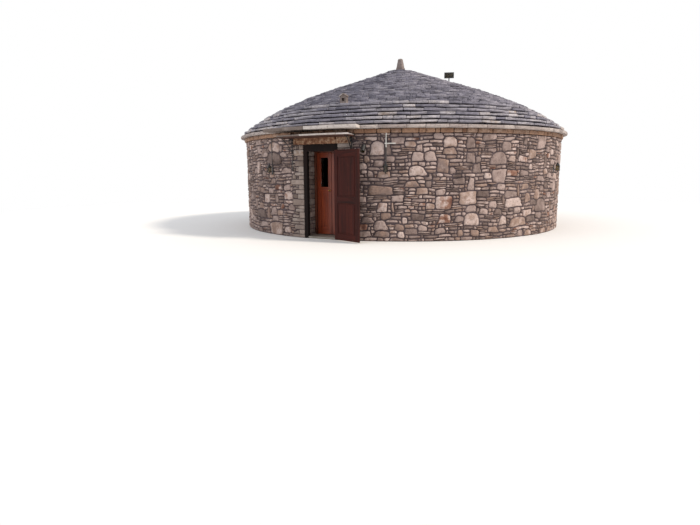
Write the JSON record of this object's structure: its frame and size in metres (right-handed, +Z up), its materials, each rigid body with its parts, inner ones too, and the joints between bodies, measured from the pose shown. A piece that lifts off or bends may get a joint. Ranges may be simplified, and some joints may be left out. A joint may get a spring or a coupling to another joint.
{
  "type": "trullo house",
  "caption": "Round dry-stone house with a low roof of stepped stone slabs, a framed doorway with an outer leaf and glazed inner leaves, and lanterns on the wall",
  "frame": {"origin": "Centre of the round room on the ground, on the underside of the floor and walls", "axes": "+Z up; the doorway faces -Y; +X is to the right of a person who faces the doorway from outside"},
  "size_m": [9.76, 10.1098, 5.0061],
  "materials": {
    "rubble_wall": "rough",
    "floor_stone": "worn",
    "dressed_stone": "rough",
    "brown_stone": "rough",
    "old_timber": "raw",
    "roof_slab_stone": "rough",
    "pale_slab_stone": "rough",
    "vault_stone": "rough",
    "stained_wood": "satin",
    "wrought_iron": "matte",
    "black_metal": "satin",
    "lamp_glass": "clear",
    "dark_conduit": "matte",
    "white_conduit": "matte",
    "grey_metal": "satin",
    "dark_wood": "satin",
    "brown_wood": "satin",
    "brass_fittings": "worn",
    "maroon_paint": "satin",
    "orange_wood": "satin",
    "window_glass": "clear"
  },
  "bodies": {
    "house": {"wall_front_right": "rubble_wall", "wall_right": "rubble_wall", "wall_back_right": "rubble_wall", "wall_rear_right": "rubble_wall", "wall_rear_left": "rubble_wall", "wall_back_left": "rubble_wall", "wall_left": "rubble_wall", "wall_front_left": "rubble_wall", "floor_slab": "floor_stone", "threshold_stone": "dressed_stone", "door_pier_left": "dressed_stone", "door_pier_right": "dressed_stone", "stone_lintel": "brown_stone", "lintel_beams": "old_timber", "wall_over_door": "rubble_wall", "corbel_course": "brown_stone", "eave_course": "roof_slab_stone", "canopy_slabs": "pale_slab_stone", "roof_lower_courses": "roof_slab_stone", "roof_upper_courses": "roof_slab_stone", "roof_cap": "roof_slab_stone", "pinnacle": "roof_slab_stone", "roof_vault": "vault_stone", "vault_crown": "vault_stone", "roof_vent": "roof_slab_stone", "vent_cover": "pale_slab_stone", "shelf_board": "stained_wood", "drip_slabs": "pale_slab_stone", "shelf_brackets": "wrought_iron", "lantern_frames": "black_metal", "lantern_glass": "lamp_glass", "conduit_left": "dark_conduit", "conduit_right": "white_conduit", "spot_lamp": "black_metal", "spot_lamp_lens": "lamp_glass", "floodlight": "grey_metal", "floodlight_glass": "lamp_glass", "outer_door_frame": "dark_wood", "outer_door_pintles": "wrought_iron", "inner_door_frame": "brown_wood", "inner_frame_hinges": "brass_fittings"},
    "outer_door": {"outer_leaf": "maroon_paint", "outer_leaf_straps": "wrought_iron"},
    "inner_door_left": {"inner_leaf_left": "orange_wood", "inner_glass_left": "window_glass", "inner_knob_left": "brass_fittings"},
    "inner_door_right": {"inner_leaf_right": "orange_wood", "inner_glass_right": "window_glass"}
  },
  "joints": [
    {"name": "outer_door_hinge", "type": "hinge", "parent": "house", "child": "outer_door", "pos_m": [0.444, -4.753, 1.07], "axis": [0, 0, -1], "range_deg": [-5, 160]},
    {"name": "inner_left_hinge", "type": "hinge", "parent": "house", "child": "inner_door_left", "pos_m": [-0.419, -4.136, 1.08], "axis": [0, 0, 1], "range_deg": [0, 90]},
    {"name": "inner_right_hinge", "type": "hinge", "parent": "house", "child": "inner_door_right", "pos_m": [0.419, -4.136, 1.08], "axis": [0, 0, -1], "range_deg": [0, 90]}
  ]
}
